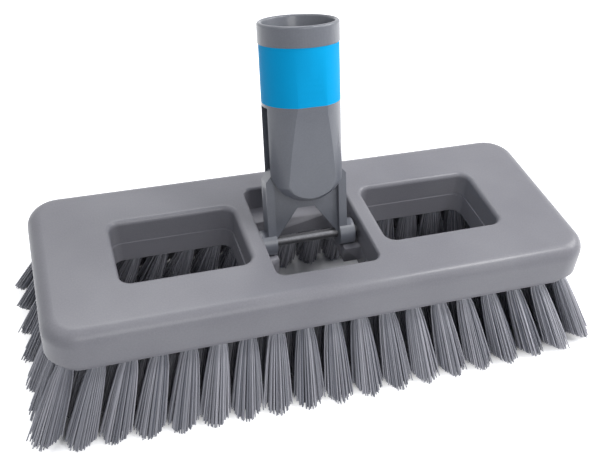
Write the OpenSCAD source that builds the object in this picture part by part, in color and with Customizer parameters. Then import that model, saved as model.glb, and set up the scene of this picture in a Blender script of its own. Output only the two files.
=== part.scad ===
// Scrub brush with a swivelling pole socket.
// The block lies along X, its bristle tips stand on z = 0 and the socket leans back towards +Y.
// Two pivots carry the socket: a steel axle across the middle window lets the yoke tilt,
// and a pin through the yoke's hub lets the socket, whose sides are slotted, swing sideways.

/* [Block] */
// Length of the block
block_l = 220; // [200:1:250]
// Width of the block
block_w = 84; // [76:1:100]
// Radius of the block's corners, seen from above
corner_r = 13; // [10:0.5:16]
// Radius of the rounded top edge
edge_r = 6; // [4:0.5:8]
// Height of the cover above the seam
crown_h = 11; // [10:0.5:14]
// Depth of the cover's skirt below the seam
skirt_drop = 4; // [2:0.5:6]
// Wall of the moulded cover
wall = 2.4; // [2:0.1:2.8]
// Thickness of the plate that holds the tufts
plate_t = 9; // [8:0.5:12]
// Gap between the plate's edge and the skirt
plate_gap = 0.9; // [0.4:0.1:1.5]
// Thickness of the ribs inside the cover
rib_t = 1.6; // [1.2:0.1:2.4]

/* [Windows] */
// Length of each side window
side_win_l = 51; // [44:0.5:54]
// Width of the block beside each side window
side_strip = 24.6; // [22:0.1:28]
// Corner radius of the side windows
side_win_r = 4.5; // [3:0.5:8]
// Rounding of the side windows' rims
side_rim_r = 2.2; // [1:0.1:3]
// Length of the middle window
mid_win_l = 42; // [40:0.5:46]
// Width of the block beside the middle window
mid_strip = 14.7; // [12:0.1:17]
// Corner radius of the middle window
mid_win_r = 3.5; // [2:0.5:6]
// Rounding of the middle window's rim
mid_rim_r = 1.3; // [0.8:0.1:2]
// Width of the bars between the middle window and the side windows
bar_w = 7.2; // [6.4:0.1:9]
// Step of the plate's openings outside the cover's, which shows the seam
seam_step = 0.3; // [0.1:0.1:0.6]

/* [Bristles] */
// Length of bristle below the plate
trim_h = 30; // [22:1:40]
// Wanted spacing of the tufts along the block
tuft_spacing = 11.4; // [10.6:0.1:13]
// Wanted spacing of the rows across the ends
row_spacing = 11.5; // [10.6:0.1:13]
// Distance from the plate's edge to the outer tufts' roots
edge_margin = 4.2; // [3.8:0.1:5]
// Distance from the side windows to the inner tufts' roots
window_margin = 5.6; // [4.6:0.1:6.2]
// Inset of the corner tufts' roots, across the block
corner_inset = 2.2; // [2:0.1:3]
// Radius of a tuft where it leaves the plate
tuft_r = 3; // [2.4:0.1:3.2]
// Radius of a tuft at its tip
tip_r = 5.4; // [4:0.1:5.6]
// Flutes between the strands of each tuft
flutes = 9; // [7:1:12]
// Depth of the flutes as a share of the tuft's radius
flute_cut = 0.16; // [0.08:0.02:0.2]
// Outward lean of the last tufts at both ends, in degrees
end_lean = 20.8; // [12:0.2:26]
// Outward lean of the outer tufts along both sides, in degrees
side_lean = 25.8; // [20:0.2:30]
// Share of the sideways lean that is lost towards the corners
corner_ease = 0.25; // [0:0.05:0.3]
// Depth of the blind tuft holes
hole_depth = 6; // [5:0.5:7]
// Thickness of the flat wire that anchors each tuft
anchor_t = 0.45; // [0.3:0.05:0.6]
// Height of the flat anchor wire
anchor_h = 1.8; // [1.2:0.1:2.2]

/* [Screws] */
// Radius of the screw heads
screw_head_r = 2.9; // [2.5:0.1:3]
// Height of the screw heads
screw_head_h = 2; // [1.6:0.1:2.4]
// Radius of the screw shanks
screw_r = 1.5; // [1.2:0.1:1.6]
// Depth that the heads lie below the plate's face
screw_sink = 0.6; // [0.3:0.1:1]
// Distance of the side screws from the middle of their cell, inwards
screw_shift = 1; // [0.5:0.1:1.2]

/* [Tilt hinge] */
// Depth of the hinge line below the cover's top face
hinge_drop = 7.5; // [6:0.1:8]
// Radius of the steel axle
axle_r = 2; // [1.6:0.1:2.2]
// Length of axle held in each bar
axle_grip = 4; // [3:0.2:4.2]
// Radius of the yoke's eyes
eye_r = 5.4; // [4.6:0.1:5.6]
// Gap between each eye and the window's wall, with the yoke in the middle
eye_gap = 1.1; // [0.9:0.1:1.4]
// Sideways place of the yoke in its end play
side_shift = -0.8; // [-0.8:0.1:0.8]
// Gap between each eye and the cradle under it
cradle_gap = 0.4; // [0.3:0.1:0.8]
// Lean of the socket at rest
rest_lean = 18.5; // [0:0.5:40]

/* [Yoke] */
// Depth of the yoke's legs and hub, front to back
yoke_t = 7.4; // [6.4:0.2:7.6]
// Thickness of the web between the legs
web_t = 3; // [2.4:0.2:4]
// Distance between the legs' inner faces
leg_inner_w = 27; // [25:0.5:28]
// Thickness of each leg
leg_t = 3.3; // [2.8:0.1:3.8]
// Height of the legs' tops above the hinge
leg_h = 30; // [27:0.5:31]
// Width of the notch at its top
notch_top_w = 7.4; // [6:0.2:12]
// Height of the notch's top above the hinge
notch_h = 13.9; // [11:0.1:16]
// Height on the legs' inner faces where the notch starts to narrow
notch_foot = 0.6; // [-1:0.1:4]
// Radius of the hub round the swing pin
hub_r = 8; // [6.5:0.5:9]

/* [Socket] */
// Outer radius of the socket
socket_r = 15.5; // [15:0.1:16]
// Height of the swing pin above the hinge
pivot_h = 34; // [33:0.5:38]
// Height of the socket's mouth above the hinge
mouth_h = 88.5; // [84:0.5:110]
// Radius of the bore for the pole
pole_r = 12.6; // [11.5:0.1:13]
// Depth of the bore for the pole
pole_depth = 29; // [20:0.5:30]
// Wall at the socket's mouth
mouth_wall = 1.9; // [1.4:0.1:2.4]
// Amount that the mouth ring stands out
ring_proud = 0.3; // [0.1:0.1:0.8]
// Height of the mouth ring
ring_h = 7.8; // [5:0.2:12]
// Height of the colour band
band_h = 22.5; // [12:0.5:23]
// Thickness of the colour band
band_t = 0.4; // [0.3:0.1:0.8]
// Distance of the flats from the axis, at the height of the swing pin
flat_y = 12.6; // [12.2:0.1:13.4]
// Lean of the flats, in degrees
flat_lean = 4.4; // [3:0.1:5]
// Radius of the ball that rounds the socket's nose
nose_r = 17.4; // [16.4:0.1:19]
// Height of the side slots above the swing pin
slot_rise = 23; // [19:0.5:23]
// Gap between the yoke and the walls of the side slots
slot_gap = 0.5; // [0.3:0.1:0.8]
// Thickness of the cheeks at the swing pin
cheek_t = 4; // [3.4:0.1:4.4]
// Radius of the steel swing pin
pin_r = 3; // [2.4:0.1:3.4]
// Wall of the bosses round the swing pin
pin_boss_wall = 3.5; // [2.5:0.1:4]
// Gap between these bosses and the hub
thrust_gap = 0.3; // [0.2:0.1:0.4]
// Skin left in front of the swing pin's blind end
pin_skin = 2; // [1.2:0.1:2.4]

/* [Hidden] */
$fn = 48;

// Small overlap that makes neighbouring shapes one piece, and the overrun of cuts
lap = 0.5;
// Running fit between a pin and its bore, and the looser fit of a pin in its seat
fit = 0.06;
seat_fit = 0.03;

// Heights
seam_z = trim_h + plate_t;
top_z = seam_z + crown_h;
skirt_z = seam_z - skirt_drop;
ceiling_z = top_z - wall;
hinge_z = top_z - hinge_drop;

// Plan of the plate, set by the skirt round it
plate_l = block_l - 2 * (wall + plate_gap);
plate_w = block_w - 2 * (wall + plate_gap);
plate_r = corner_r - wall - plate_gap;

// Plan of the windows
side_win_w = block_w - 2 * side_strip;
mid_win_w = block_w - 2 * mid_strip;
side_win_x = mid_win_l / 2 + bar_w + side_win_l / 2;
side_win_end = side_win_x + side_win_l / 2;
collar_wall = (bar_w - rib_t) / 2;

// Columns of tufts along the block, and the rows that each column may hold
outer_x = plate_l / 2 - edge_margin;
columns = round(outer_x / tuft_spacing);
tuft_pitch = outer_x / columns;
outer_y = plate_w / 2 - edge_margin;
inner_y = side_win_w / 2 + window_margin;
end_rows = max(1, round(2 * inner_y / row_spacing) - 1);
end_pitch = 2 * inner_y / (end_rows + 1);
function row_of_tufts(y, corner_y) = [
    for (i = [-columns : columns]) [i * tuft_pitch, abs(i) == columns ? corner_y : y]
];
function end_roots(side) = [
    for (i = [1 : columns], k = [1 : end_rows])
        if (i * tuft_pitch > side_win_end + edge_margin)
            [side * i * tuft_pitch, k * end_pitch - inner_y]
];
front_outer_roots = row_of_tufts(-outer_y, corner_inset - outer_y);
front_inner_roots = row_of_tufts(-inner_y, -inner_y);
back_inner_roots = row_of_tufts(inner_y, inner_y);
back_outer_roots = row_of_tufts(outer_y, outer_y - corner_inset);
left_end_roots = end_roots(-1);
right_end_roots = end_roots(1);
all_roots = concat(front_outer_roots, front_inner_roots, back_inner_roots, back_outer_roots,
    left_end_roots, right_end_roots);

// Tufts: the straight root below the plate, the fit in the hole and the anchor's place
root_drop = 2.2;
hole_gap = 0.05;
anchor_sink = 0.8;
anchor_z = hole_depth - anchor_h - anchor_sink;

// Screws stand in the cells between the tufts
side_screw_x = (ceil((mid_win_l / 2 + bar_w) / tuft_pitch) + 0.5) * tuft_pitch;
side_screw_y = (outer_y + inner_y) / 2 - screw_shift;
end_screw_x = (columns - 0.5) * tuft_pitch;
end_screw_y = end_rows % 2 == 1 ? end_pitch / 2 : end_pitch;
screw_spots = [for (sx = [-1, 1], sy = [-1, 1])
    each [[sx * side_screw_x, sy * side_screw_y], [sx * end_screw_x, sy * end_screw_y]]];
boss_wall = 2;
boss_r = screw_r + boss_wall;
boss_skin = 1;
pilot_depth = crown_h - wall - boss_skin;
screw_end_gap = 1;
screw_bite = pilot_depth - screw_end_gap;
screw_slack = 0.2;
head_seat_z = trim_h + screw_sink + screw_head_h;
drive_w = 0.9;
drive_depth = 1.2;

// Tilt hinge
bar_block_wall = 1;
bar_block_y = eye_r + bar_block_wall;
lug_gap = 0.15;
eye_end = mid_win_l / 2 - eye_gap;
leg_outer = leg_inner_w / 2 + leg_t;
cradle_step = 0.7;
cradle_x = leg_inner_w / 2 + cradle_step;
cradle_half_y = 7.5;
cradle_foot = 2;

// Yoke: where the shoulder line touches the hub's circle
shoulder = [leg_outer, leg_h - pivot_h];
shoulder_a = atan2(shoulder.y, shoulder.x) + acos(hub_r / norm(shoulder));

// Socket
slot_half = yoke_t / 2 + slot_gap;
band_top = mouth_h - ring_h;
band_foot = band_top - band_h;
bore_foot = mouth_h - pole_depth;
ring_r = socket_r + ring_proud;
mouth_r = ring_r - mouth_wall;
leadin_h = ring_h;
chamber_half = flat_y - cheek_t;
pin_boss_r = pin_r + pin_boss_wall;
pin_front = flat_y - pin_skin;

plastic = [0.57, 0.57, 0.6];
dark_plastic = [0.5, 0.5, 0.54];
steel = [0.75, 0.75, 0.77];
blue = [0, 0.63, 0.85];

// Plan of a rectangle with round corners
module round_plan(l, w, r) {
    square([l - 2 * r, w], center = true);
    square([l, w - 2 * r], center = true);
    for (sx = [-1, 1], sy = [-1, 1])
        translate([sx * (l / 2 - r), sy * (w / 2 - r)]) circle(r);
}

// Runs the profile that follows round a rectangle with round corners.
// The profile is drawn from the corner's centre, outwards in x and upwards in y.
module run_round(l, w, r) {
    for (m = [0, 1]) mirror([0, m, 0])
        translate([r - l / 2, w / 2 - r, 0])
            rotate([90, 0, 90]) linear_extrude(l - 2 * r) children();
    for (m = [0, 1]) mirror([m, 0, 0])
        translate([l / 2 - r, w / 2 - r, 0])
            rotate([90, 0, 0]) linear_extrude(w - 2 * r) children();
    for (mx = [0, 1], my = [0, 1]) mirror([mx, 0, 0]) mirror([0, my, 0])
        translate([l / 2 - r, w / 2 - r, 0])
            rotate_extrude(angle = 90) children();
}

// Slab with round corners and a rounded top edge
module soft_slab(l, w, r, f, z0, z1) {
    translate([0, 0, z0])
        linear_extrude(z1 - f - z0) round_plan(l, w, r);
    translate([0, 0, z0])
        linear_extrude(z1 - z0) round_plan(l - 2 * f, w - 2 * f, r - f);
    translate([0, 0, z1 - f]) run_round(l, w, r)
        translate([r - f, 0]) intersection() {
            circle(f);
            square(f);
        }
}

// Cut for a window through the cover, with the rounding of its rim
module window_cut(l, w, r, rim) {
    translate([0, 0, seam_z - lap])
        linear_extrude(crown_h + 2 * lap) round_plan(l, w, r);
    translate([0, 0, top_z]) run_round(l, w, r) difference() {
        translate([r - lap, -rim]) square([rim + lap, rim + lap]);
        translate([r + rim, -rim]) circle(rim);
    }
}

module at_side_windows() {
    for (s = [-1, 1]) translate([s * side_win_x, 0, 0]) children();
}

module at_screws() {
    for (spot = screw_spots) translate([spot.x, spot.y, 0]) children();
}

// Cover: a moulded shell with collars round its windows, screw bosses and ribs
module cover_inside() {
    inner_h = ceiling_z + lap - seam_z;
    translate([0, 0, seam_z]) linear_extrude(inner_h) {
        for (s = [-1, 1]) translate([s * side_win_x, 0])
            round_plan(side_win_l + 2 * collar_wall, side_win_w + 2 * collar_wall,
                side_win_r + collar_wall);
        round_plan(mid_win_l + 2 * collar_wall, mid_win_w + 2 * collar_wall,
            mid_win_r + collar_wall);
        square([mid_win_l + 2 * bar_w, 2 * bar_block_y], center = true);
        for (spot = screw_spots) translate(spot) circle(boss_r);
        for (s = [-1, 1]) translate([s * side_win_x, 0])
            square([rib_t, block_w - 2 * wall + 2 * lap], center = true);
        square([block_l - 2 * wall + 2 * lap, rib_t], center = true);
    }
}

module axle_seat(s) {
    translate([s * (mid_win_l / 2 - lap), 0, hinge_z]) rotate([0, s * 90, 0])
        cylinder(h = axle_grip + lap, r = axle_r + seat_fit);
    translate([min(s * (mid_win_l / 2 - lap), s * (mid_win_l / 2 + axle_grip)),
        -axle_r - seat_fit, seam_z - lap])
        cube([axle_grip + lap, 2 * (axle_r + seat_fit), hinge_z - seam_z + lap]);
}

module top_cover() color(plastic) difference() {
    union() {
        difference() {
            soft_slab(block_l, block_w, corner_r, edge_r, skirt_z, top_z);
            soft_slab(block_l - 2 * wall, block_w - 2 * wall, corner_r - wall, edge_r - wall,
                skirt_z - lap, ceiling_z);
        }
        cover_inside();
    }
    at_side_windows() window_cut(side_win_l, side_win_w, side_win_r, side_rim_r);
    window_cut(mid_win_l, mid_win_w, mid_win_r, mid_rim_r);
    at_screws() translate([0, 0, seam_z - lap])
        cylinder(h = pilot_depth + lap, r = screw_r + seat_fit);
    for (s = [-1, 1]) axle_seat(s);
}

// Outward slope of a tuft, its lean in degrees, and the direction that it leans in
function slope_of(root) = [
    tan(end_lean) * root.x / outer_x,
    tan(side_lean) * root.y / outer_y * (1 - corner_ease * pow(root.x / outer_x, 2))
];
function lean_of(root) = atan(norm(slope_of(root)));
function lean_way(root) = atan2(slope_of(root).y, slope_of(root).x);

// Turns what follows into a tuft's own frame: root at the plate's face, z up its hole
module at_root(root)
    translate([root.x, root.y, trim_h])
        rotate([0, -lean_of(root), lean_way(root)]) children();

// Frame of a tuft's anchor, which lies along the block
module at_anchor(root)
    at_root(root) rotate([0, 0, -lean_way(root)])
        translate([0, 0, anchor_z + anchor_h / 2]) children();

// Plate: blind leaning tuft holes, screw holes, window openings and cradles for the eyes
module plate_body() {
    difference() {
        translate([0, 0, trim_h]) linear_extrude(plate_t) round_plan(plate_l, plate_w, plate_r);
        translate([0, 0, trim_h - lap]) linear_extrude(plate_t + 2 * lap) {
            for (s = [-1, 1]) translate([s * side_win_x, 0])
                round_plan(side_win_l + 2 * seam_step, side_win_w + 2 * seam_step,
                    side_win_r + seam_step);
            round_plan(mid_win_l, side_win_w, mid_win_r);
        }
    }
    for (s = [-1, 1]) {
        cradle_l = mid_win_l / 2 + lap - cradle_x;
        translate([s * (cradle_x + cradle_l / 2), 0, (trim_h + cradle_foot + seam_z) / 2])
            cube([cradle_l, 2 * cradle_half_y, plate_t - cradle_foot], center = true);
        lug_l = axle_grip - 2 * lug_gap;
        lug_top = hinge_z - axle_r - lug_gap;
        translate([s * (mid_win_l / 2 + axle_grip / 2), 0, (seam_z - lap + lug_top) / 2])
            cube([lug_l, 2 * (axle_r - lug_gap), lug_top - seam_z + lap], center = true);
    }
}

module bristle_plate() color(dark_plastic) difference() {
    plate_body();
    for (root = all_roots) at_root(root)
        translate([0, 0, -root_drop]) cylinder(h = hole_depth + root_drop, r = tuft_r + hole_gap);
    at_screws() {
        translate([0, 0, trim_h - lap])
            cylinder(h = head_seat_z - trim_h + lap, r = screw_head_r + screw_slack);
        translate([0, 0, trim_h]) cylinder(h = plate_t + lap, r = screw_r + screw_slack);
    }
    for (s = [-1, 1]) translate([s * (leg_inner_w / 2), 0, hinge_z]) rotate([0, s * 90, 0])
        cylinder(h = (mid_win_l - leg_inner_w) / 2, r = eye_r + cradle_gap);
}

// Self-tapping screws that hold the plate to the cover, driven from below
module cover_screw() difference() {
    union() {
        translate([0, 0, head_seat_z - screw_head_h])
            cylinder(h = screw_head_h, r = screw_head_r);
        translate([0, 0, head_seat_z - lap])
            cylinder(h = seam_z + screw_bite - head_seat_z + lap, r = screw_r);
    }
    for (a = [0, 90]) rotate([0, 0, a])
        translate([0, 0, head_seat_z - screw_head_h + drive_depth / 2])
            cube([screw_head_r, drive_w, drive_depth + seat_fit], center = true);
}

module cover_screws() color(steel) at_screws() cover_screw();

// Cross-section of a tuft: a round bundle with flutes between its strands
module bundle(r) polygon([
    for (i = [0 : 2 * flutes - 1])
        r * (i % 2 == 0 ? 1 : 1 - flute_cut) * [cos(180 * i / flutes), sin(180 * i / flutes)]
]);

// Tuft of filaments as one solid: a straight root in its hole, then a fan down to the trim line
module tuft(root) {
    lean = lean_of(root);
    fan_len = trim_h / cos(lean) - root_drop;
    spare = 2 * tip_r * tan(lean) + lap;
    grow = (tip_r - tuft_r) / fan_len;
    difference() {
        at_root(root) {
            translate([0, 0, -root_drop])
                linear_extrude(root_drop + hole_depth - hole_gap) bundle(tuft_r);
            translate([0, 0, -root_drop]) rotate([180, 0, 0])
                linear_extrude(fan_len + spare, scale = (tip_r + grow * spare) / tuft_r)
                    bundle(tuft_r);
        }
        at_anchor(root)
            cube([2 * tuft_r + lap, anchor_t + 2 * hole_gap, anchor_h + 2 * hole_gap],
                center = true);
        translate([root.x, root.y, -block_w / 2])
            cube([block_w, block_w, block_w], center = true);
    }
}

module tufts(roots) color(dark_plastic) for (root = roots) tuft(root);

// Flat wire that was driven across each folded tuft
module anchors(roots) color(steel) for (root = roots) at_anchor(root)
    cube([2 * tuft_r, anchor_t, anchor_h], center = true);

module front_outer_tufts() tufts(front_outer_roots);
module front_inner_tufts() tufts(front_inner_roots);
module back_inner_tufts() tufts(back_inner_roots);
module back_outer_tufts() tufts(back_outer_roots);
module left_end_tufts() tufts(left_end_roots);
module right_end_tufts() tufts(right_end_roots);
module front_outer_anchors() anchors(front_outer_roots);
module front_inner_anchors() anchors(front_inner_roots);
module back_inner_anchors() anchors(back_inner_roots);
module back_outer_anchors() anchors(back_outer_roots);
module left_end_anchors() anchors(left_end_roots);
module right_end_anchors() anchors(right_end_roots);

// Steel axle that the yoke tilts on
module hinge_axle() color(steel) {
    half_l = mid_win_l / 2 + axle_grip - lug_gap;
    translate([-half_l, 0, hinge_z]) rotate([0, 90, 0]) cylinder(h = 2 * half_l, r = axle_r);
}

// Places the leaning parts: their own z runs up the socket from the hinge
module leaning() translate([side_shift, 0, hinge_z]) rotate([-rest_lean, 0, 0]) children();

// Cylinder across the leaning parts, front to back, centred at a height above the hinge
module across(h, r, y0, y1)
    translate([0, y1, h]) rotate([90, 0, 0]) cylinder(h = y1 - y0, r = r);

// Yoke: deep legs with eyes on the axle, a hub for the swing pin, and a thin web between them
// that is cut out below as an upturned V
module yoke_outline() {
    touch = hub_r * [cos(shoulder_a), sin(shoulder_a)];
    translate([0, pivot_h]) circle(hub_r);
    translate([0, pivot_h]) polygon([
        [-leg_outer, -pivot_h], [-shoulder.x, shoulder.y], [-touch.x, touch.y],
        [touch.x, touch.y], shoulder, [leg_outer, -pivot_h]
    ]);
}

module web_pocket() difference() {
    translate([-leg_inner_w / 2, -2 * eye_r])
        square([leg_inner_w, pivot_h + hub_r + 2 * eye_r + lap]);
    translate([0, pivot_h]) circle(hub_r);
}

// Extrudes an outline of the leaning parts from front to back
module front_to_back(y0, y1)
    translate([0, y1, 0]) rotate([90, 0, 0]) linear_extrude(y1 - y0) children();

module yoke() color(plastic) leaning() difference() {
    union() {
        front_to_back(-yoke_t / 2, yoke_t / 2) yoke_outline();
        for (s = [-1, 1]) rotate([0, s * 90, 0]) translate([0, 0, leg_inner_w / 2])
            cylinder(h = eye_end - leg_inner_w / 2, r = eye_r);
    }
    front_to_back(-yoke_t / 2 - lap, -web_t / 2) web_pocket();
    front_to_back(web_t / 2, yoke_t / 2 + lap) web_pocket();
    front_to_back(-yoke_t, yoke_t) polygon([
        [-leg_inner_w / 2, -2 * eye_r], [-leg_inner_w / 2, notch_foot],
        [-notch_top_w / 2, notch_h], [notch_top_w / 2, notch_h],
        [leg_inner_w / 2, notch_foot], [leg_inner_w / 2, -2 * eye_r]
    ]);
    rotate([0, 90, 0]) cylinder(h = mid_win_l, r = axle_r + fit, center = true);
    across(pivot_h, pin_r + fit, -yoke_t, yoke_t);
}

// Steel pin that the socket swings on, pressed in from the back
module swing_pin() color(steel) leaning()
    across(pivot_h, pin_r, -pin_front, flat_y - lug_gap);

// Outer form of the socket with its two leaning flats, drawn a given depth below the surface
module barrel(depth, z0, z1) difference() {
    translate([0, 0, z0]) cylinder(h = z1 - z0, r = socket_r - depth);
    for (m = [0, 1]) mirror([0, m, 0])
        translate([0, flat_y - depth / cos(flat_lean), pivot_h]) rotate([-flat_lean, 0, 0])
            translate([-socket_r - lap, 0, -mouth_h])
                cube([2 * (socket_r + lap), socket_r, 2 * mouth_h]);
}

module socket_form() {
    barrel(0, pivot_h, band_top);
    intersection() {
        barrel(0, pivot_h - socket_r, pivot_h);
        across(pivot_h, socket_r, -socket_r, socket_r);
        translate([0, 0, pivot_h]) sphere(nose_r);
    }
    translate([0, 0, band_top]) cylinder(h = ring_h - mouth_wall / 2, r = ring_r);
    translate([0, 0, mouth_h - mouth_wall / 2]) rotate_extrude()
        translate([ring_r - mouth_wall / 2, 0]) circle(mouth_wall / 2);
}

module socket_tube() color(plastic) leaning() difference() {
    union() {
        difference() {
            socket_form();
            intersection() {
                cylinder(h = pivot_h + slot_rise, r = pole_r);
                translate([-socket_r, -chamber_half, 0])
                    cube([2 * socket_r, 2 * chamber_half, pivot_h + slot_rise]);
            }
        }
        for (m = [0, 1]) mirror([0, m, 0])
            across(pivot_h, pin_boss_r, yoke_t / 2 + thrust_gap, chamber_half + lap);
    }
    translate([-socket_r - lap, -slot_half, 0]) difference() {
        cube([2 * (socket_r + lap), 2 * slot_half, pivot_h + slot_rise]);
        translate([socket_r + lap, 0, 0])
            across(pivot_h, pin_boss_r, -lap, slot_half - yoke_t / 2 - thrust_gap);
        translate([socket_r + lap, 0, 0])
            across(pivot_h, pin_boss_r, slot_half + yoke_t / 2 + thrust_gap,
                2 * slot_half + lap);
    }
    difference() {
        barrel(-lap, band_foot, band_top);
        barrel(band_t, band_foot - lap, band_top + lap);
    }
    translate([0, 0, bore_foot]) cylinder(h = pole_depth + lap, r = pole_r);
    translate([0, 0, mouth_h - leadin_h])
        cylinder(h = leadin_h - mouth_wall / 2, r1 = pole_r, r2 = mouth_r);
    translate([0, 0, mouth_h - mouth_wall / 2]) cylinder(h = mouth_wall, r = mouth_r);
    across(pivot_h, pin_r + seat_fit, -pin_front - seat_fit, socket_r);
}

// Thin blue sleeve round the socket below its mouth
module colour_band() color(blue) leaning() difference() {
    barrel(0, band_foot, band_top);
    barrel(band_t, band_foot - lap, band_top + lap);
}

top_cover();
bristle_plate();
cover_screws();
hinge_axle();
front_outer_tufts();
front_inner_tufts();
back_inner_tufts();
back_outer_tufts();
left_end_tufts();
right_end_tufts();
front_outer_anchors();
front_inner_anchors();
back_inner_anchors();
back_outer_anchors();
left_end_anchors();
right_end_anchors();
yoke();
swing_pin();
socket_tube();
colour_band();
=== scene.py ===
import math
import random

import bpy
import numpy as np
from mathutils import Matrix, Vector


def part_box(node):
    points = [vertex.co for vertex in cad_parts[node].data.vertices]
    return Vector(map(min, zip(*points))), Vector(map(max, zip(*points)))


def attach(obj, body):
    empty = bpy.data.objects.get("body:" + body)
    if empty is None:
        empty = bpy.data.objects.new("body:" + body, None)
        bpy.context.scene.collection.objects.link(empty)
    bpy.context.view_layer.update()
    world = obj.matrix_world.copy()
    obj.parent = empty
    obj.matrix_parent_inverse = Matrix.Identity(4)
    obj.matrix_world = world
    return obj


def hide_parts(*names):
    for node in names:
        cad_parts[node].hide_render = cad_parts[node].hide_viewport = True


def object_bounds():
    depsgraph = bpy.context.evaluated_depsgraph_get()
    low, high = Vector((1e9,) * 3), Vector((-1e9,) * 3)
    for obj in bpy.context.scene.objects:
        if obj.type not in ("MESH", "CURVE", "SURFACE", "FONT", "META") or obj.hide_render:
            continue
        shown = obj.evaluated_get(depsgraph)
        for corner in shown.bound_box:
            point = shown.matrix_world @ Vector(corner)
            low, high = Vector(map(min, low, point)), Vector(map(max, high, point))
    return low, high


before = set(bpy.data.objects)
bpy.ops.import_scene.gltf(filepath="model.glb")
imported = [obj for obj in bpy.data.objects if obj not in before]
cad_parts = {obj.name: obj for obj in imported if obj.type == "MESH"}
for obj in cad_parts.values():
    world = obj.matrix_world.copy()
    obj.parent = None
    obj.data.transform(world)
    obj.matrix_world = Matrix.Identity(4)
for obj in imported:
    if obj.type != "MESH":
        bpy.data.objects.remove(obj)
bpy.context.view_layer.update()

# The view of the photograph: where the camera looks, from where, and how it is turned
VIEW_TARGET = Vector((-0.0055, -0.0052, 0.0500))
VIEW_DISTANCE = 0.3523
VIEW_AZIMUTH = math.radians(20.19)
VIEW_ELEVATION = math.radians(40.04)
VIEW_ROLL = math.radians(4.475)
LENS = 52.40
SENSOR = 36.0
CLIP_START = 0.01

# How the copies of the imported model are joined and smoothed: metres, degrees and a weight
MERGE = 1e-6
BROAD_CREASE = 32
YOKE_CREASE = 15
TUBE_CREASE = 12
FILAMENT_CREASE = 75
FLAT_FACE_WEIGHT = 60

# One filament: its radius and sides, and its levels as shares of its length from neck to tip
FILAMENT_R = 0.00028
FILAMENT_SIDES = 5
FILAMENT_FALLS = (-0.13, 0.0, 0.12, 0.45, 1.0)

# One tuft: how many filaments it has, how it flares and how unevenly it is trimmed
FILAMENTS = 185
FLARE = 0.62
TIP_DRIFT = 0.0002
TRIM_SPREAD = 0.0005
SIDE_RISE = 0.0034
STRAYS = 4
STRAY_REACH = 1.18
TURN_PLAY = 0.12
TUFT_TONES = (0.42, 0.58)
TONE_SPREAD = 0.2

# Where a packed tuft's neck and tip are read, and the rows that are dressed, in their order
NECK_LOW = 0.024
TIP_HIGH = 0.001
ROW_DIGITS = 4
TUFT_ROWS = ("front_outer", "front_inner", "back_inner", "back_outer", "left_end", "right_end")
FIRST_SEED = 11

# The side windows, and how far the plate's rim stands out below the cover's
WINDOW_X = 0.0537
WINDOW_HALF_L = 0.0255
WINDOW_HALF_W = 0.0174
SEAM_REACH = 0.0005
SEAM_STEP = 0.0008

# The yoke's hinge and lean, and the slope of its shoulders
YOKE_X = -0.0008
HINGE_Z = 0.0425
REST_LEAN = math.radians(18.5)
SHOULDER_X = 0.0168
SHOULDER_H = 0.0270
SHOULDER_SLOPE = math.radians(41.3)

# The floor, and its part that lies in the shade between the rows of tufts
FLOOR_SIZE = 8
FLOOR_GAP = 0.0002
FLOOR_GLOW = 0.8
SHADE_HALF_X = 0.116
SHADE_HALF_Y = 0.052
SHADE_EDGE = 0.008

# The world's light on the brush, the white that is seen, and how far off the lamps hang
WORLD_LIGHT = (0.145, 0.160, 0.182, 1.0)
WHITE = (1.0, 1.0, 1.0, 1.0)
LAMP_DISTANCE = 0.9

# The finishes that the moulded plastics share
COAT_ROUGHNESS = 0.16
GRAIN_STRENGTH = 0.35

# Sockets of a Mix node, which share their names and so are taken by number
FACTOR, VALUE_A, VALUE_B, VALUE_OUT = 0, 2, 3, 0
COLOUR_A, COLOUR_B, COLOUR_OUT = 6, 7, 2

# Colours as the photograph shows them, as red, green and blue from 0 to 255
COVER_GREY = (146, 145, 151)
COVER_DEEP = (132, 131, 138)
PLATE_GREY = (140, 139, 146)
JOINT_GREY = (124, 127, 135)
JOINT_DEEP = (109, 112, 121)
BAND_BLUE = (0, 188, 254)
BAND_DEEP = (0, 181, 247)
BRISTLE_DARK = (106, 109, 120)
BRISTLE_LIGHT = (208, 207, 214)
STEEL_LIGHT = (128, 128, 131)
STEEL_DEEP = (90, 91, 96)
FLOOR_PALE = (240, 240, 242)


def linear(rgb):
    """A colour from 0 to 255 as the linear red, green, blue and alpha that a shader takes."""
    parts = []
    for value in rgb:
        share = value / 255
        if share <= 0.04045:
            parts.append(share / 12.92)
        else:
            parts.append(((share + 0.055) / 1.055) ** 2.4)
    return (*parts, 1.0)


def pick(obj):
    """Leaves only this object selected and active."""
    bpy.ops.object.select_all(action="DESELECT")
    obj.select_set(True)
    bpy.context.view_layer.objects.active = obj


def merged_copy(node, name):
    """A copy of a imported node, selected, with its loose triangles joined along their edges."""
    piece = bpy.data.objects.new(name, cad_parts[node].data.copy())
    bpy.context.collection.objects.link(piece)
    pick(piece)
    bpy.ops.object.mode_set(mode="EDIT")
    bpy.ops.mesh.select_all(action="SELECT")
    bpy.ops.mesh.remove_doubles(threshold=MERGE)
    bpy.ops.object.mode_set(mode="OBJECT")
    return piece


def finish_piece(piece, node, body, material):
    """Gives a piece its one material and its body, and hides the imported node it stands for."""
    piece.data.materials.clear()
    piece.data.materials.append(material)
    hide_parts(node)
    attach(piece, body)


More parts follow.
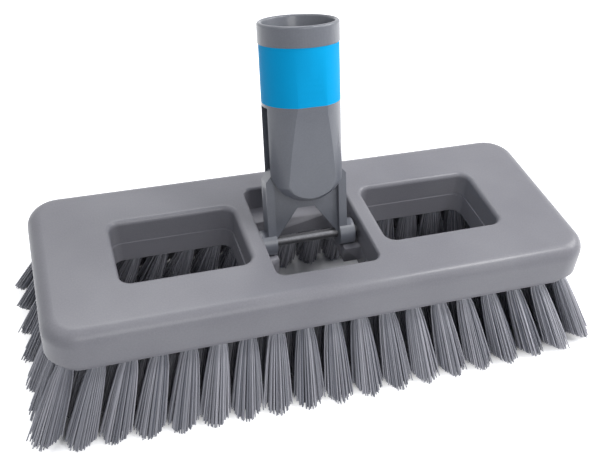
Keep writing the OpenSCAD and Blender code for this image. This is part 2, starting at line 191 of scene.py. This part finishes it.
def smooth_piece(node, name, body, material, crease=BROAD_CREASE, shape=None):
    """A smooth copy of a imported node, reshaped first if need be. Its flat faces stay flat."""
    piece = merged_copy(node, name)
    if shape:
        shape(piece)
    bpy.ops.object.shade_smooth_by_angle(angle=math.radians(crease))
    weighted = piece.modifiers.new("flat_faces", "WEIGHTED_NORMAL")
    weighted.keep_sharp = True
    weighted.weight = FLAT_FACE_WEIGHT
    bpy.ops.object.modifier_apply(modifier=weighted.name)
    finish_piece(piece, node, body, material)


def show_seams(piece):
    """Draws the plate's side windows in a little, so that its rim shows below the cover's."""
    for side in (-1, 1):
        points = np.array([vertex.co for vertex in piece.data.vertices])
        inside = abs(points[:, 0] - side * WINDOW_X) < WINDOW_HALF_L + SEAM_REACH
        inside &= abs(points[:, 1]) < WINDOW_HALF_W + SEAM_REACH
        pick(piece)
        bpy.ops.object.mode_set(mode="EDIT")
        bpy.ops.mesh.select_mode(type="VERT")
        bpy.ops.mesh.select_all(action="DESELECT")
        bpy.ops.object.mode_set(mode="OBJECT")
        piece.data.vertices.foreach_set("select", inside)
        bpy.ops.object.mode_set(mode="EDIT")
        bpy.ops.transform.resize(
            value=(1 - SEAM_STEP / WINDOW_HALF_L, 1 - SEAM_STEP / WINDOW_HALF_W, 1),
            center_override=(side * WINDOW_X, 0, 0),
        )
        bpy.ops.object.mode_set(mode="OBJECT")


def slope_shoulders(piece):
    """Cuts the yoke's shoulders down to the slope that the photograph shows."""
    sine, cosine = math.sin(REST_LEAN), math.cos(REST_LEAN)
    out, up = math.cos(SHOULDER_SLOPE), math.sin(SHOULDER_SLOPE)
    for side in (-1, 1):
        pick(piece)
        bpy.ops.object.mode_set(mode="EDIT")
        bpy.ops.mesh.select_all(action="SELECT")
        bpy.ops.mesh.bisect(
            plane_co=(YOKE_X + side * SHOULDER_X, SHOULDER_H * sine, HINGE_Z + SHOULDER_H * cosine),
            plane_no=(side * out, up * sine, up * cosine),
            clear_outer=True,
            use_fill=True,
        )
        bpy.ops.object.mode_set(mode="OBJECT")


def new_group(name, inputs, outputs):
    """An empty shader node group of number sockets, and its input and output nodes."""
    group = bpy.data.node_groups.new(name, "ShaderNodeTree")
    for label, value in inputs:
        socket = group.interface.new_socket(label, in_out="INPUT", socket_type="NodeSocketFloat")
        socket.default_value = value
    for label in outputs:
        group.interface.new_socket(label, in_out="OUTPUT", socket_type="NodeSocketFloat")
    return group, group.nodes.new("NodeGroupInput"), group.nodes.new("NodeGroupOutput")


def grain_group():
    """The fine moulded grain: an uneven tone and a height, read from the object's own place."""
    group, source, sink = new_group(
        "moulded_grain",
        [("Grain Scale", 1600.0), ("Cloud Scale", 26.0), ("Speckle", 0.3)],
        ["Tone", "Height"],
    )
    nodes, link = group.nodes, group.links.new
    place = nodes.new("ShaderNodeTexCoord")
    grain = nodes.new("ShaderNodeTexNoise")
    grain.inputs["Detail"].default_value = 3.0
    cloud = nodes.new("ShaderNodeTexNoise")
    cloud.inputs["Detail"].default_value = 4.0
    link(place.outputs["Object"], grain.inputs["Vector"])
    link(place.outputs["Object"], cloud.inputs["Vector"])
    link(source.outputs["Grain Scale"], grain.inputs["Scale"])
    link(source.outputs["Cloud Scale"], cloud.inputs["Scale"])
    mixed = nodes.new("ShaderNodeMix")
    mixed.data_type = "FLOAT"
    link(source.outputs["Speckle"], mixed.inputs[FACTOR])
    link(cloud.outputs["Fac"], mixed.inputs[VALUE_A])
    link(grain.outputs["Fac"], mixed.inputs[VALUE_B])
    link(mixed.outputs[VALUE_OUT], sink.inputs["Tone"])
    link(grain.outputs["Fac"], sink.inputs["Height"])
    return group


def plain_material(name, roughness, metallic=0.0, specular=0.5, coat=0.0):
    """A new node material and its main shader, with its constant values set."""
    material = bpy.data.materials.new(name)
    material.use_nodes = True
    shader = material.node_tree.nodes["Principled BSDF"]
    shader.inputs["Roughness"].default_value = roughness
    shader.inputs["Metallic"].default_value = metallic
    shader.inputs["Specular IOR Level"].default_value = specular
    shader.inputs["Coat Weight"].default_value = coat
    shader.inputs["Coat Roughness"].default_value = COAT_ROUGHNESS
    return material, shader


def two_tones(material, shader, tone, low, high, start=0.35, end=0.65):
    """Feeds the base colour with a blend of two colours by a value from a socket."""
    nodes, link = material.node_tree.nodes, material.node_tree.links.new
    ramp = nodes.new("ShaderNodeValToRGB")
    ramp.color_ramp.elements[0].position = start
    ramp.color_ramp.elements[0].color = linear(low)
    ramp.color_ramp.elements[1].position = end
    ramp.color_ramp.elements[1].color = linear(high)
    link(tone, ramp.inputs["Fac"])
    link(ramp.outputs["Color"], shader.inputs["Base Color"])


def moulded_plastic(name, low, high, roughness, specular, grain_depth, speckle, coat=0.0):
    """Satin moulded plastic with a fine grain and a slightly uneven tone."""
    material, shader = plain_material(name, roughness, specular=specular, coat=coat)
    nodes, link = material.node_tree.nodes, material.node_tree.links.new
    grain = nodes.new("ShaderNodeGroup")
    grain.node_tree = GRAIN
    grain.inputs["Speckle"].default_value = speckle
    two_tones(material, shader, grain.outputs["Tone"], low, high)
    bump = nodes.new("ShaderNodeBump")
    bump.inputs["Strength"].default_value = GRAIN_STRENGTH
    bump.inputs["Distance"].default_value = grain_depth
    link(grain.outputs["Height"], bump.inputs["Height"])
    link(bump.outputs["Normal"], shader.inputs["Normal"])
    return material


def cover_plastic():
    """The cover's light grey plastic, with a thin gloss."""
    return moulded_plastic(
        "cover_plastic", COVER_DEEP, COVER_GREY,
        roughness=0.44, specular=0.4, grain_depth=0.00005, speckle=0.35, coat=0.2,
    )


def plate_plastic():
    """The plate's grey plastic, with no gloss on it."""
    return moulded_plastic(
        "plate_plastic", COVER_DEEP, PLATE_GREY,
        roughness=0.45, specular=0.45, grain_depth=0.00005, speckle=0.35,
    )


def joint_plastic():
    """The smoother, bluer grey plastic of the yoke and the tube."""
    return moulded_plastic(
        "joint_plastic", JOINT_DEEP, JOINT_GREY,
        roughness=0.34, specular=0.5, grain_depth=0.00003, speckle=0.25, coat=0.35,
    )


def band_plastic():
    """The even, clear blue of the band."""
    return moulded_plastic(
        "band_plastic", BAND_DEEP, BAND_BLUE,
        roughness=0.55, specular=0.12, grain_depth=0.00002, speckle=0.2,
    )


def drawn_steel():
    """Drawn steel of the axle, the pin, the screws and the wires."""
    material, shader = plain_material("drawn_steel", roughness=0.5, metallic=1.0)
    grain = material.node_tree.nodes.new("ShaderNodeGroup")
    grain.node_tree = GRAIN
    two_tones(material, shader, grain.outputs["Tone"], STEEL_DEEP, STEEL_LIGHT)
    return material


def bristle_nylon():
    """Nylon filaments, each with its own tone."""
    material, shader = plain_material("bristle_nylon", roughness=0.42, specular=0.45)
    tone = material.node_tree.nodes.new("ShaderNodeAttribute")
    tone.attribute_name = "tone"
    two_tones(material, shader, tone.outputs["Fac"], BRISTLE_DARK, BRISTLE_LIGHT, 0.0, 1.0)
    return material


def model_filament():
    """An upright filament of radius 1, as points and faces. A point's height is its level."""
    levels = len(FILAMENT_FALLS) - 1
    bpy.ops.object.select_all(action="DESELECT")
    bpy.ops.mesh.primitive_cylinder_add(
        vertices=FILAMENT_SIDES, radius=1, depth=levels, end_fill_type="NGON", location=(0, 0, 0)
    )
    rod = bpy.context.active_object
    bpy.ops.object.mode_set(mode="EDIT")
    for level in range(1, levels):
        bpy.ops.mesh.select_all(action="SELECT")
        bpy.ops.mesh.bisect(plane_co=(0, 0, level - levels / 2), plane_no=(0, 0, 1))
    bpy.ops.object.mode_set(mode="OBJECT")
    points = np.array([vertex.co for vertex in rod.data.vertices])
    points[:, 2] = levels / 2 - points[:, 2]
    faces = [tuple(face.vertices) for face in rod.data.polygons]
    bpy.data.objects.remove(rod)
    return points, faces


def tuft_places(node):
    """The centre and radius of each packed tuft's neck, just under the plate, and of its tip."""
    merged_copy(node, node + "_probe")
    bpy.ops.object.mode_set(mode="EDIT")
    bpy.ops.mesh.separate(type="LOOSE")
    bpy.ops.object.mode_set(mode="OBJECT")
    places = []
    for part in list(bpy.context.selected_objects):
        points = np.array([vertex.co for vertex in part.data.vertices])
        ends = []
        for low, high in ((NECK_LOW, PLATE_LOW), (-MERGE, TIP_HIGH)):
            ring = points[(points[:, 2] > low) & (points[:, 2] < high)]
            centre = (ring.max(axis=0) + ring.min(axis=0)) / 2
            ends.append((centre, np.linalg.norm(ring - centre, axis=1).max()))
        places.append(ends)
        bpy.data.objects.remove(part)
    places.sort(key=lambda ends: (round(ends[0][0][1], ROW_DIGITS), ends[0][0][0]))
    return places


def filament_course(ends, share, turn, chance):
    """The places of one filament's levels, from inside the plate to its trimmed tip."""
    (neck, neck_r), (tip, tip_r) = ends
    lean = math.atan2(tip[1] - neck[1], tip[0] - neck[0])
    side = share * math.sin(turn - lean)
    way = np.array([math.cos(turn), math.sin(turn), 0])
    drift = np.array([chance.gauss(0, TIP_DRIFT), chance.gauss(0, TIP_DRIFT), 0])
    rise = SIDE_RISE * side * side + chance.random() * TRIM_SPREAD
    axis = tip - neck
    course = []
    for fall in FILAMENT_FALLS:
        below = max(fall, 0.0)
        spread = neck_r + (tip_r - neck_r) * below ** FLARE - FILAMENT_R
        place = neck + axis * fall + way * share * spread + drift * below
        place[2] += rise * below
        course.append(place)
    return np.array(course)


def bristle_mesh(name, places, chance):
    """One mesh of all the filaments of a row of tufts, each filament with its own tone."""
    golden = math.pi * (3 - math.sqrt(5))
    points, faces = FILAMENT
    levels = points[:, 2].round().astype(int)
    all_points, all_faces, tones = [], [], []
    for ends in places:
        base_tone = chance.uniform(*TUFT_TONES)
        for number in range(FILAMENTS):
            share = math.sqrt((number + 0.5) / FILAMENTS)
            if number >= FILAMENTS - STRAYS:
                share *= chance.uniform(1.0, STRAY_REACH)
            turn = number * golden + chance.uniform(-TURN_PLAY, TURN_PLAY)
            course = filament_course(ends, share, turn, chance)[levels]
            course[:, :2] += points[:, :2] * FILAMENT_R
            first = len(all_points) * len(points)
            all_points.append(course)
            all_faces.extend(tuple(first + corner for corner in face) for face in faces)
            tones.append(min(1.0, max(0.0, chance.gauss(base_tone, TONE_SPREAD))))
    mesh = bpy.data.meshes.new(name)
    mesh.from_pydata(np.concatenate(all_points), [], all_faces)
    tone = mesh.attributes.new("tone", "FLOAT", "POINT")
    tone.data.foreach_set("value", np.repeat(tones, len(points)).astype(np.float32))
    mesh.update()
    return mesh


def tuft_row(node, name, seed):
    """A row of tufts: each packed tuft becomes a flared bundle of separate filaments."""
    mesh = bristle_mesh(name, tuft_places(node), random.Random(seed))
    piece = bpy.data.objects.new(name, mesh)
    bpy.context.collection.objects.link(piece)
    pick(piece)
    bpy.ops.object.shade_smooth_by_angle(angle=math.radians(FILAMENT_CREASE))
    finish_piece(piece, node, "block", BRISTLE)


def cover_shell():
    """The moulded cover with its three windows and its skirt."""
    smooth_piece("top_cover", "cover_shell", "block", COVER)


def plate_body():
    """The plate that holds the tufts, with its rim showing in the side windows."""
    smooth_piece("bristle_plate", "plate_body", "block", PLATE, shape=show_seams)


def axle_rod():
    """The steel axle that the yoke tilts on."""
    smooth_piece("hinge_axle", "axle_rod", "block", STEEL)


def yoke_body():
    """The yoke with its two legs, its eyes and its notched web."""
    smooth_piece("yoke", "yoke_body", "yoke", JOINT, YOKE_CREASE, slope_shoulders)


def pin_body():
    """The steel pin that the tube swings on."""
    smooth_piece("swing_pin", "pin_body", "socket", STEEL)


def tube_body():
    """The tube that takes the pole, with its leaning flats."""
    smooth_piece("socket_tube", "tube_body", "socket", JOINT, TUBE_CREASE)


def band_ring():
    """The blue band round the tube."""
    smooth_piece("colour_band", "band_ring", "socket", BAND)


def screw_bodies():
    """The screws that hold the plate in the cover."""
    smooth_piece("cover_screws", "screw_bodies", "block", STEEL)


def tufts_and_wires():
    """Every row of tufts, and the flat wires that hold them in the plate."""
    for order, place in enumerate(TUFT_ROWS):
        tuft_row(place + "_tufts", place + "_bristles", FIRST_SEED + order)
        smooth_piece(place + "_anchors", place + "_wires", "block", STEEL)


def white_for_camera(material_or_world):
    """A Light Path value that is 1 for what the camera sees, also in gloss and through glass."""
    nodes, link = material_or_world.node_tree.nodes, material_or_world.node_tree.links.new
    path = nodes.new("ShaderNodeLightPath")
    glossy = nodes.new("ShaderNodeMath")
    glossy.operation = "MAXIMUM"
    link(path.outputs["Is Camera Ray"], glossy.inputs[0])
    link(path.outputs["Is Glossy Ray"], glossy.inputs[1])
    clear = nodes.new("ShaderNodeMath")
    clear.operation = "MAXIMUM"
    link(glossy.outputs[0], clear.inputs[0])
    link(path.outputs["Is Transmission Ray"], clear.inputs[1])
    return clear.outputs[0]


def open_floor(material):
    """A mask of the floor: 1 in the open, 0 in the shade between the rows of tufts."""
    nodes, link = material.node_tree.nodes, material.node_tree.links.new
    place = nodes.new("ShaderNodeTexCoord")
    parts = nodes.new("ShaderNodeSeparateXYZ")
    link(place.outputs["Object"], parts.inputs[0])
    either = nodes.new("ShaderNodeMath")
    either.operation = "MAXIMUM"
    for number, (axis, half) in enumerate((("X", SHADE_HALF_X), ("Y", SHADE_HALF_Y))):
        size = nodes.new("ShaderNodeMath")
        size.operation = "ABSOLUTE"
        link(parts.outputs[axis], size.inputs[0])
        share = nodes.new("ShaderNodeMapRange")
        share.inputs["From Min"].default_value = half - SHADE_EDGE
        share.inputs["From Max"].default_value = half
        link(size.outputs[0], share.inputs["Value"])
        link(share.outputs[0], either.inputs[number])
    return either.outputs[0]


def pale_floor():
    """The floor's pale matt material, which glows white to the camera in the open."""
    material = bpy.data.materials.new("pale_floor")
    material.use_nodes = True
    nodes, link = material.node_tree.nodes, material.node_tree.links.new
    shader = nodes["Principled BSDF"]
    shader.inputs["Base Color"].default_value = linear(FLOOR_PALE)
    shader.inputs["Roughness"].default_value = 0.9
    shader.inputs["Specular IOR Level"].default_value = 0.0
    shader.inputs["Emission Color"].default_value = WHITE
    level = nodes.new("ShaderNodeMath")
    level.operation = "MULTIPLY"
    level.inputs[1].default_value = FLOOR_GLOW
    link(open_floor(material), level.inputs[0])
    glow = nodes.new("ShaderNodeMath")
    glow.operation = "MULTIPLY"
    link(level.outputs[0], glow.inputs[0])
    link(white_for_camera(material), glow.inputs[1])
    link(glow.outputs[0], shader.inputs["Emission Strength"])
    return material


def lay_floor():
    """A plain pale floor that keeps the object's shadow."""
    bpy.ops.object.select_all(action="DESELECT")
    bpy.ops.mesh.primitive_plane_add(
        size=FLOOR_SIZE, location=(0, 0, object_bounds()[0][2] - FLOOR_GAP)
    )
    floor = bpy.context.active_object
    floor.name = "floor"
    bpy.ops.object.transform_apply(location=True)
    floor.data.materials.append(pale_floor())


def light_world():
    """A soft even world, white where it is seen."""
    world = bpy.data.worlds.new("studio")
    bpy.context.scene.world = world
    world.use_nodes = True
    nodes, link = world.node_tree.nodes, world.node_tree.links.new
    background = nodes["Background"]
    seen = nodes.new("ShaderNodeMix")
    seen.data_type = "RGBA"
    seen.inputs[COLOUR_A].default_value = WORLD_LIGHT
    seen.inputs[COLOUR_B].default_value = WHITE
    link(white_for_camera(world), seen.inputs[FACTOR])
    link(seen.outputs[COLOUR_OUT], background.inputs["Color"])


def hang_lamp(name, azimuth, elevation, size, power):
    """A square soft lamp that faces the brush. Azimuth 0 is the near side and 90 the right."""
    turn, rise = math.radians(azimuth), math.radians(elevation)
    flat = math.cos(rise)
    way = Vector((math.sin(turn) * flat, -math.cos(turn) * flat, math.sin(rise)))
    lamp = bpy.data.lights.new(name, "AREA")
    lamp.size = size
    lamp.energy = power
    holder = bpy.data.objects.new(name, lamp)
    bpy.context.collection.objects.link(holder)
    holder.location = VIEW_TARGET + way * LAMP_DISTANCE
    holder.rotation_euler = (-way).to_track_quat("-Z", "Y").to_euler()


def light_brush():
    """The five lamps, the strongest at the right as in the photograph."""
    hang_lamp("key_lamp", 94, 33, size=0.4, power=3.1)
    hang_lamp("high_lamp", 68, 58, size=0.2, power=2.4)
    hang_lamp("front_lamp", 4, 38, size=0.4, power=1.7)
    hang_lamp("back_lamp", 180, 60, size=0.4, power=2.1)
    hang_lamp("left_lamp", -90, 50, size=0.4, power=0.5)


def set_camera():
    """The camera of the photograph."""
    flat = math.cos(VIEW_ELEVATION)
    across, along = math.sin(VIEW_AZIMUTH) * flat, math.cos(VIEW_AZIMUTH) * flat
    ahead = Vector((across, along, -math.sin(VIEW_ELEVATION)))
    camera = bpy.data.objects.new("camera", bpy.data.cameras.new("camera"))
    camera.data.sensor_width = SENSOR
    camera.data.lens = LENS
    camera.data.clip_start = CLIP_START
    bpy.context.collection.objects.link(camera)
    upright = ahead.to_track_quat("-Z", "Y").to_matrix().to_4x4()
    turned = upright @ Matrix.Rotation(VIEW_ROLL, 4, "Z")
    camera.matrix_world = Matrix.Translation(VIEW_TARGET - ahead * VIEW_DISTANCE) @ turned
    bpy.context.scene.camera = camera


GRAIN = grain_group()
COVER = cover_plastic()
PLATE = plate_plastic()
JOINT = joint_plastic()
BAND = band_plastic()
STEEL = drawn_steel()
BRISTLE = bristle_nylon()
FILAMENT = model_filament()
PLATE_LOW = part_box("bristle_plate")[0][2]

cover_shell()
plate_body()
axle_rod()
yoke_body()
pin_body()
tube_body()
band_ring()
screw_bodies()
tufts_and_wires()

lay_floor()
light_world()
light_brush()
set_camera()
bpy.context.scene.view_settings.view_transform = "Standard"
